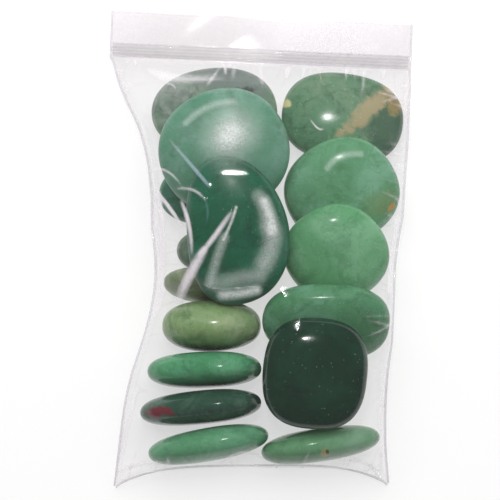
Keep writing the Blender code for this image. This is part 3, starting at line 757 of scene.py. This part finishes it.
@dataclass
class Films:
    """The front and the rear film, drawn over and under the stones, with their creases."""

    rows: int = 330
    columns: int = 230
    rear_rows: int = 200
    rear_columns: int = 140
    smoothing: int = 10
    meet: float = 0.10 * MM  # each film's distance from the middle of a weld
    hug: float = 0.04 * MM  # how far averaging may draw the front film in
    lowest: float = 0.08 * MM  # of the rear film, above the surface under the bag
    weld_cells: int = 3  # cells over which a film is drawn to a weld
    lip_cells: int = 6  # and to the lip
    pucker_count: int = 95
    flat_size: tuple = (0.148, 0.212)
    outline: Outline = field(default_factory=Outline)

    def build(self) -> None:
        """Makes both films."""
        self.front()
        self.rear()

    def settle(self, x: np.ndarray, y: np.ndarray, z: np.ndarray, sign: float) -> np.ndarray:
        """Draws the outermost cells of a film to the welds, so that it meets them."""
        left, right, foot = self.outline.height(x, y)
        rows, columns = z.shape
        u, v = np.arange(columns), np.arange(rows)
        near_left = smooth_step(1 - u / self.weld_cells)[None, :]
        near_right = near_left[:, ::-1]
        near_foot = smooth_step(1 - (rows - 1 - v) / self.weld_cells)[:, None]
        lift = sign * self.meet
        z = z + (left[:, None] + lift - z[:, :1]) * near_left
        z = z + (right[:, None] + lift - z[:, -1:]) * near_right
        return z + (foot[None, :] + lift - z[-1:, :]) * near_foot

    def front(self) -> None:
        """The front film: the CAD skin, smoothed outwards, with folds and puckers laid on it."""
        x, y, v, u = self.outline.grid(self.rows, self.columns)
        skin = heights_on("front_film", x, y, True)
        z = relaxed(skin, skin - self.hug, self.smoothing)
        z = self.settle(x, y, z, 1.0)
        low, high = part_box("front_lip")[0][2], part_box("front_lip")[1][2]
        lip_level = (low + high) / 2
        near_lip = smooth_step(1 - np.arange(self.rows) / self.lip_cells)[:, None]
        z = z + (lip_level - z[:1, :]) * near_lip
        lift, haze, tint = self.creases(x, y, FOLDS + self.puckers(x, y))
        edge = np.minimum(np.minimum(u, 1 - u)[None, :] * 14, np.minimum(v, 1 - v)[:, None] * 22)
        z = z + lift * smooth_step(edge)
        # Painted sheen: steep film is made milkier, standing in for the brighter reflection that film
        # gives when seen at a grazing angle.
        steep = smooth_step((self.slope(x, y, z) - 0.7) / 2.6) * 0.2
        rim = smooth_step(1 - edge * 1.6) * 0.22
        haze = np.clip(haze + steep + rim, 0, 1)
        self.sheet("front_film_sheet", "front_film", x, y, z, Film.FRONT, haze, tint, False,
                   self.smears(x, y))

    def rear(self) -> None:
        """The rear film, flat where it lies on the surface under the bag."""
        x, y, v, _ = self.outline.grid(self.rear_rows, self.rear_columns)
        skin = heights_on("rear_film", x, y, False)
        z = relaxed(skin, np.full(skin.shape, self.lowest), self.smoothing)
        z = self.settle(x, y, z, -1.0)
        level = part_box("rear_lip")[0][2] + 0.25 * MM
        near_lip = smooth_step(1 - np.arange(len(v)) / self.lip_cells)[:, None]
        z = z + (level - z[:1, :]) * near_lip
        z = np.maximum(z, self.lowest)
        # Painted sheen: steep film is made milkier, standing in for the brighter reflection that film
        # gives when seen at a grazing angle.
        haze = smooth_step((self.slope(x, y, z) - 0.3) / 2.0) * 0.3
        self.sheet("rear_film_sheet", "rear_film", x, y, z, Film.REAR, haze, haze * 0, True)

    @staticmethod
    def slope(x: np.ndarray, y: np.ndarray, z: np.ndarray) -> np.ndarray:
        """How steep a height grid is at each place: rise over run."""
        return np.hypot(np.gradient(z, axis=1) / np.gradient(x, axis=1),
                        np.gradient(z, axis=0) / np.gradient(y, axis=0))

    def sheet(self, name: str, node: str, x: np.ndarray, y: np.ndarray, z: np.ndarray, kind: Film,
              haze: np.ndarray, tint: np.ndarray, turned: bool,
              smear: np.ndarray | None = None) -> None:
        """Args:
            name: the piece's name.
            node: the frame node that it stands for.
            x, y, z: its grid of places.
            kind: its finish.
            haze, tint: how milky and how blue it is at each place.
            turned: whether its outer side faces down.
            smear: how strongly a highlight is painted at each place, or None for nowhere.
        """
        faces = grid_faces(*x.shape)
        finish = FILM_FINISHES[kind].build(name + "_film")
        points = np.dstack([x, y, z]).reshape(-1, 3)
        piece = surface(name, points, faces[:, ::-1] if turned else faces, finish, haze=haze,
                        line=haze * 0, tint=tint, smear=haze * 0 if smear is None else smear)
        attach(piece, "bag")
        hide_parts(node)

    def puckers(self, x: np.ndarray, y: np.ndarray) -> tuple:
        """Small gathers that run in from the welds and from the zip, at places drawn by a seed."""
        draw = np.random.default_rng(SEED)
        made = []
        for _ in range(self.pucker_count):
            side, along = draw.integers(0, 4), draw.uniform(0.04, 0.97)
            reach, sway = draw.uniform(6, 20), draw.uniform(-0.5, 0.5)
            width, height = draw.uniform(0.5, 1.5), draw.uniform(0.12, 0.45)
            if side < 2:
                row, column = int(along * (len(y) - 1)), -1 if side else 0
                way = np.array([-1.0 if side else 1.0, sway])
            else:
                row, column = -1 if side == 2 else 0, int(along * (x.shape[1] - 1))
                way = np.array([sway, 1.0 if side == 2 else -1.0])
            start = np.array([x[row, column], y[row, column]]) / MM
            middle = start + way * reach * 0.5 + (0, sway * 2)
            made.append(Fold((tuple(start), tuple(middle), tuple(start + way * reach)), width, height,
                             draw.uniform(0.05, 0.4)))
        return tuple(made)

    @staticmethod
    def smears(x: np.ndarray, y: np.ndarray) -> np.ndarray:
        """How strongly a highlight is painted on the film at each place, from 0 to 1."""
        total = np.zeros(x.shape)
        for smear in PAINTED_HIGHLIGHTS:
            route = curve_through(np.array(smear.points), 40) * MM
            away = np.min([np.hypot(x - a, y - b) for a, b in route], axis=0)
            total = total + smear.strength * np.exp(-((away / (smear.width * MM)) ** 2))
        return np.minimum(total, 1)

    @staticmethod
    def creases(x: np.ndarray, y: np.ndarray, folds: tuple) -> tuple:
        """Height, haze and tint that the folds add.

        At a distance d from a fold's line, and at a share t along it, a fold adds
        height * taper(t) * exp(-(d / width)^2), where taper is sin(pi t) to the power 0.6. Its haze
        is a soft band, exp(-(d / width)^4), with a brighter core 0.4 as wide.
        """
        lift, haze, tint = np.zeros(x.shape), np.zeros(x.shape), np.zeros(x.shape)
        for fold in folds:
            line = curve_through(np.array(fold.points), 14) * MM
            near, share = np.full(x.shape, np.inf), np.zeros(x.shape)
            for i, (start, end) in enumerate(zip(line[:-1], line[1:])):
                run = end - start
                t = ((x - start[0]) * run[0] + (y - start[1]) * run[1]) / (run @ run)
                t = np.clip(t, 0, 1)
                away = np.hypot(x - start[0] - run[0] * t, y - start[1] - run[1] * t)
                share = np.where(away < near, (i + t) / (len(line) - 1), share)
                near = np.minimum(near, away)
            width = fold.width * MM
            taper = np.maximum(np.sin(np.pi * share), 0) ** 0.6
            ridge = taper * np.exp(-((near / width) ** 2))
            lift = lift + fold.height * MM * ridge
            milky = taper * (0.6 * np.exp(-((near / width) ** 4))
                             + 0.4 * np.exp(-((near / width / 0.4) ** 2)))
            haze = haze + fold.haze * milky
            tint = np.maximum(tint, fold.tint * milky)
        return lift, haze, tint


def curve_through(points: np.ndarray, count: int) -> np.ndarray:
    """A smooth line through points: each coordinate is a polynomial in the point's number."""
    at = np.arange(len(points))
    fine = np.linspace(0, len(points) - 1, count)
    return np.stack([np.polyval(np.polyfit(at, column, len(points) - 1), fine) for column in points.T],
                    axis=1)


# ---------------------------------------------------------------- welds


@dataclass
class Welds:
    """The hot-cut welds down both sides and across the bottom: narrow wavy beads of melted film."""

    outline: Outline
    width: float = 1.1 * MM
    thickness: float = 0.34 * MM
    points_round: int = 10
    wave: float = 0.12 * MM

    def build(self) -> None:
        """Makes the three beads."""
        half = self.width / 2
        for name, rows, sign in (("side_seal_left", self.outline.left, -1),
                                 ("side_seal_right", self.outline.right, 1)):
            x, y, z = (rows[:, 1] + rows[:, 2]) / 2, rows[:, 0], (rows[:, 3] + rows[:, 4]) / 2
            self.bead(name, np.stack([x - sign * (half * 0.1), y, z], axis=1)[1:])
        rows = self.outline.bottom
        y, z = (rows[:, 1] + rows[:, 2]) / 2, (rows[:, 3] + rows[:, 4]) / 2
        self.bead("bottom_seam", np.stack([rows[:, 0], y, z], axis=1))

    def bead(self, node: str, route: np.ndarray) -> None:
        """Sweeps a flat oval, (width cos a, thickness sin a) / 2, along a finely cut, wavy route."""
        along = np.concatenate([[0], np.cumsum(np.linalg.norm(np.diff(route, axis=0), axis=1))])
        fine = np.linspace(0, along[-1], 500)
        path = np.stack([np.interp(fine, along, column) for column in route.T], axis=1)
        path = np.stack([soften(column, 6) for column in path.T], axis=1)
        run = np.gradient(path, axis=0)
        side = np.stack([run[:, 1], -run[:, 0], np.zeros(len(run))], axis=1)
        side /= np.linalg.norm(side, axis=1, keepdims=True)
        wave = np.sin(fine / (2.3 * MM)) * 0.5 + np.sin(fine / (5.1 * MM) + 1.0)
        path[:, 2] += wave * self.wave
        path[:, 2] = np.maximum(path[:, 2], self.thickness * 0.7)
        turn = np.linspace(0, 2 * math.pi, self.points_round, endpoint=False)
        profile = np.stack([np.cos(turn) * self.width / 2, np.sin(turn) * self.thickness / 2], axis=1)
        points, faces = swept(path, side, profile)
        count = len(points)
        piece = surface(node + "_weld", points, faces, FILM_FINISHES[Film.WELD].build(node + "_bead"),
                        haze=np.full(count, 0.35), line=np.full(count, 0.55), tint=np.zeros(count))
        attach(piece, "bag")
        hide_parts(node)


# ---------------------------------------------------------------- mouth


@dataclass(frozen=True)
class Span:
    """A stretch of the mouth from left to right, as shares of its width, and how it moves."""

    name: str
    start: float
    end: float
    held_at: float | None = None  # the share at which it stays on the bag, or None where all of it lifts
    free_at: float | None = None


SPANS = (
    Span("left", 0.0, 0.3, 0.0, 0.3),
    Span("middle", 0.3, 0.7),
    Span("right", 0.7, 1.0, 1.0, 0.7),
)


@dataclass
class Mouth:
    """Both lips and both halves of the zip. The front ones lift in the middle and stay welded beside."""

    rib_places: tuple = (0.7, 2.2, 3.75, 5.3, 6.9)  # millimetres above the base of the zip
    rib_half: float = 0.28  # millimetres
    rib_height: float = 0.22  # millimetres
    zip_middle: float = 3.8  # millimetres above its base
    hem: float = 22.6  # of the faint line below the lip's edge, millimetres above the base of the zip
    flange: float = 0.4 * MM  # of both zip strips
    wave: float = 0.30 * MM
    dip: float = 1.6 * MM  # how much lower the front lip's edge is in the middle of its arch
    dip_middle: float = 0.012
    dip_half: float = 0.034
    rows: int = 90
    columns: int = 240

    def build(self) -> None:
        """Makes the lips and the zip."""
        for span in SPANS:
            self.lip("front_lip", span, True)
            self.strip(span)
        self.lip("rear_lip", Span("whole", 0.0, 1.0), False)
        self.ridge()

    def edges(self) -> tuple:
        """The lips' box, drawn out over the clearance at the sides and at the hinge."""
        low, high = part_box("front_lip")
        room = HINGE_HALF_GAP
        return low[0] - room, high[0] + room, low[1] - room, high[1]

    def lip(self, node: str, span: Span, front: bool) -> None:
        """A lip: a nearly flat film with the zip's grip ribs pressed into it.

        Its height is the node's middle, plus a wave that dies out at the hinge and at the welds, plus
        the ribs, each a bell curve across.
        """
        left, right, base, top = self.edges()
        columns = max(2, round(self.columns * (span.end - span.start)) + 1)
        share = np.linspace(span.start, span.end, columns)
        x = left + (right - left) * share
        v = np.linspace(0, 1, self.rows)
        dip = np.zeros(columns)
        if front:
            dip = self.dip * smooth_step(1 - ((x - self.dip_middle) / self.dip_half) ** 2)
        crown = top - dip - 0.25 * MM * np.sin(x / (9.0 * MM))
        y = base + (crown - base)[None, :] * v[:, None]
        x = np.repeat(x[None, :], self.rows, axis=0)
        low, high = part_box(node)
        up = (y - base) / MM
        free = smooth_step(up / 10) * smooth_step(np.minimum(share, 1 - share) * 12)[None, :]
        wave = np.sin(x / (13 * MM) + up / 9) + 0.6 * np.sin(x / (5.7 * MM) - up / 5)
        z = (low[2] + high[2]) / 2 + self.wave * wave * free * (1.0 if front else -0.6)
        ribs = sum(np.exp(-(((up - place) / self.rib_half) ** 2)) for place in self.rib_places)
        fade = smooth_step(up / 0.5)
        z = z + ribs * fade * self.rib_height * MM * (1 if front else -1)
        line = ribs * 0.4 + np.exp(-(((up - self.hem) / 0.25) ** 2)) * 0.3
        zip_band = smooth_step(1 - np.abs(up - self.zip_middle) / 4.2)
        haze = 0.30 - 0.12 * zip_band + 0.08 * np.sin(x / (21 * MM))
        haze = haze + 0.25 * np.exp(-(((up - 0.2) / 0.5) ** 2))
        faces = grid_faces(*x.shape)
        name = f"{node}_{span.name}"
        finish = FILM_FINISHES[Film.FRONT].build(name + "_film")
        points = np.dstack([x, y, z]).reshape(-1, 3)
        piece = surface(name, points, faces[:, ::-1] if front else faces, finish, haze=haze,
                        line=line, tint=haze * 0)
        self.hold(piece, span, front)
        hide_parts(node)

    def hold(self, piece: bpy.types.Object, span: Span, front: bool) -> None:
        """Lets a piece ride on the bag or the front lip; a side piece only has its place baked into its
        mesh, on no body.
        """
        if span.held_at is None:
            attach(piece, "front_lip" if front else "bag")
            return
        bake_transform(piece)

    def strip(self, span: Span) -> None:
        """The channel half of the zip, under the front lip: two rounded rails on a flange."""
        low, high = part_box("zip_channel")
        middle = (low[1] + high[1]) / 2
        across = np.linspace(low[1], high[1], 60)
        rails = sum(np.exp(-((np.abs(across - middle - offset * MM) / (0.34 * MM)) ** 4))
                    for offset in (-1.15, 1.15))
        under = high[2] - self.flange - rails * (high[2] - low[2] - self.flange)
        profile_y = np.concatenate([across, across[::-1]])
        profile_z = np.concatenate([under, np.full(len(across), high[2])])
        self.bar("zip_channel", span, low[0] - HINGE_HALF_GAP, high[0] + HINGE_HALF_GAP, profile_y,
                 profile_z, True)

    def ridge(self) -> None:
        """The ridge half of the zip, on the rear lip: one rounded ridge on a flange."""
        low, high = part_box("zip_rib")
        middle = (low[1] + high[1]) / 2
        across = np.linspace(low[1], high[1], 60)
        crest = np.exp(-((np.abs(across - middle) / (0.45 * MM)) ** 4))
        over = low[2] + self.flange + crest * (high[2] - low[2] - self.flange)
        profile_y = np.concatenate([across, across[::-1]])
        profile_z = np.concatenate([np.full(len(across), low[2]), over[::-1]])
        self.bar("zip_rib", Span("whole", 0.0, 1.0), low[0], high[0], profile_y, profile_z, False)

    def bar(self, node: str, span: Span, left: float, right: float, profile_y: np.ndarray,
            profile_z: np.ndarray, front: bool) -> None:
        """Runs a closed profile along X over one span and adds it as a piece."""
        columns = max(2, round(120 * (span.end - span.start)) + 1)
        x = left + (right - left) * np.linspace(span.start, span.end, columns)
        path = np.stack([x, np.zeros(columns), np.zeros(columns)], axis=1)
        side = np.tile([0.0, 1.0, 0.0], (columns, 1))
        points, faces = swept(path, side, np.stack([profile_y, profile_z], axis=1))
        count = len(points)
        piece = surface(f"{node}_{span.name}", points, faces,
                        FILM_FINISHES[Film.ZIP].build(f"{node}_{span.name}_plastic"),
                        haze=np.full(count, 0.15), line=np.full(count, 0.0), tint=np.zeros(count))
        self.hold(piece, span, front)
        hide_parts(node)


# ---------------------------------------------------------------- studio


@dataclass(frozen=True)
class Lamp:
    """A soft oval light that looks at the middle of the bag, in metres and watts.

    mirrored says whether it shows in glossy surfaces, or only brightens them.
    """

    name: str
    place: tuple
    width: float
    height: float
    power: float
    mirrored: bool = False


LAMPS = (
    Lamp("key", (-0.02, 0.115, 0.75), 0.06, 0.04, 0.55, mirrored=True),
    Lamp("ceiling", (0.0, 0.55, 0.85), 1.2, 0.8, 8.6),
    Lamp("left_wall", (-0.75, 0.1, 0.45), 0.5, 0.9, 1.2),
    Lamp("right_wall", (0.75, 0.0, 0.45), 0.5, 0.9, 1.2),
)


@dataclass
class Studio:
    """The pale floor, the soft lights and the camera above the bag."""

    camera_place: tuple = (-1.0 * MM, 3.6 * MM, 750 * MM)
    camera_turn: float = 2.6
    lens: float = 107.27
    floor_half: float = 12.0
    floor_level: float = -0.15 * MM
    floor_glow: float = 0.62
    room_glow: float = 0.15

    def build(self) -> None:
        """Sets up everything around the bag."""
        self.camera()
        self.floor()
        for lamp in LAMPS:
            self.light(lamp)
        self.world()

    def camera(self) -> None:
        """The camera looks straight down."""
        data = bpy.data.cameras.new("camera")
        data.sensor_width, data.lens = 36.0, self.lens
        made = bpy.data.objects.new("camera", data)
        made.location = self.camera_place
        made.rotation_euler = (0, 0, math.radians(self.camera_turn))
        bpy.context.scene.collection.objects.link(made)
        bpy.context.scene.camera = made

    def floor(self) -> None:
        """A plain white sheet of board under the bag."""
        look = Shader("floor_board", {"Roughness": 0.6, "IOR": 1.3, "Emission Strength": self.floor_glow,
                                      "Emission Color": (1.0, 1.0, 1.0, 1.0)})
        tone = look.mix(look.noise(60.0, 3) * 0.5, linear(178, 177, 177), linear(172, 171, 171))
        side = np.linspace(-self.floor_half, self.floor_half, 3)
        x, y = np.meshgrid(side, side)
        points = np.stack([x.ravel(), y.ravel(), np.full(x.size, self.floor_level)], axis=1)
        faces = grid_faces(*x.shape)[:, ::-1]
        surface("floor", points, faces, look.feed(Base_Color=tone))

    @staticmethod
    def light(lamp: Lamp) -> None:
        """Hangs one lamp."""
        data = bpy.data.lights.new(lamp.name, "AREA")
        data.shape, data.size, data.size_y = "ELLIPSE", lamp.width, lamp.height
        data.energy = lamp.power
        made = bpy.data.objects.new(lamp.name, data)
        made.location = lamp.place
        made.rotation_euler = (-Vector(lamp.place)).to_track_quat("-Z", "Y").to_euler()
        made.visible_glossy = lamp.mirrored
        bpy.context.scene.collection.objects.link(made)

    def world(self) -> None:
        """Even, dim room light."""
        world = bpy.data.worlds.new("room")
        bpy.context.scene.world = world
        world.use_nodes = True
        background = world.node_tree.nodes["Background"]
        background.inputs["Color"].default_value = (1.0, 1.0, 1.0, 1.0)
        background.inputs["Strength"].default_value = self.room_glow


def main() -> None:
    """Builds the studio and the bag around the frame."""
    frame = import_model()
    bpy.context.scene.view_settings.view_transform = "Standard"
    Studio().build()
    Stones().build(frame["record"]["behaviour"]["bodies"])
    films = Films()
    films.build()
    Welds(films.outline).build()
    Mouth().build()


if __name__ == "__main__":
    logging.basicConfig(level=logging.INFO, format="%(message)s")
    main()
